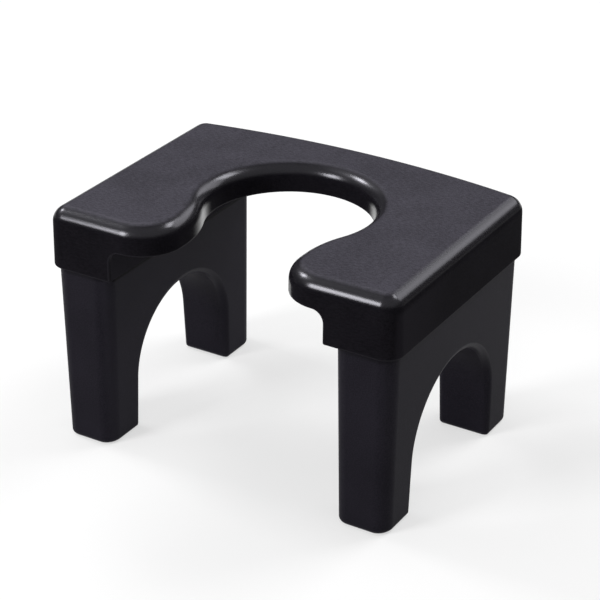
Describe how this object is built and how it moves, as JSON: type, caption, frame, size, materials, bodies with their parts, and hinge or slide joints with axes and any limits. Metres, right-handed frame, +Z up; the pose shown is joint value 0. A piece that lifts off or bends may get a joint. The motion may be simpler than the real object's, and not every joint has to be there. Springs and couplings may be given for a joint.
{
  "type": "toilet footstool",
  "caption": "Moulded plastic toilet footstool with a keyhole cut-out open to the front, on arched leg panels that push up into sockets under the tread.",
  "frame": {"origin": "on the floor, under the middle of the tread", "axes": "+X along the tread to the right leg, +Y to the bowed back edge (the cut-out opens to -Y), +Z up"},
  "size_m": [0.383, 0.2854, 0.25],
  "materials": {
    "tread_plastic": "satin black, fine grain on the deck and smoother on the rolled edge",
    "leg_plastic": "matt black, fine grain",
    "pad_rubber": "dull black"
  },
  "bodies": {
    "tread": {"seat_top": "tread_plastic"},
    "left_leg": {"left_leg": "leg_plastic", "front_left_foot_pad": "pad_rubber", "back_left_foot_pad": "pad_rubber"},
    "right_leg": {"right_leg": "leg_plastic", "front_right_foot_pad": "pad_rubber", "back_right_foot_pad": "pad_rubber"}
  },
  "joints": [
    {"name": "left_leg_pull", "type": "slide", "parent": "tread", "child": "left_leg", "axis": [0, 0, -1], "range_m": [0, 0.06]},
    {"name": "right_leg_pull", "type": "slide", "parent": "tread", "child": "right_leg", "axis": [0, 0, -1], "range_m": [0, 0.06]}
  ]
}
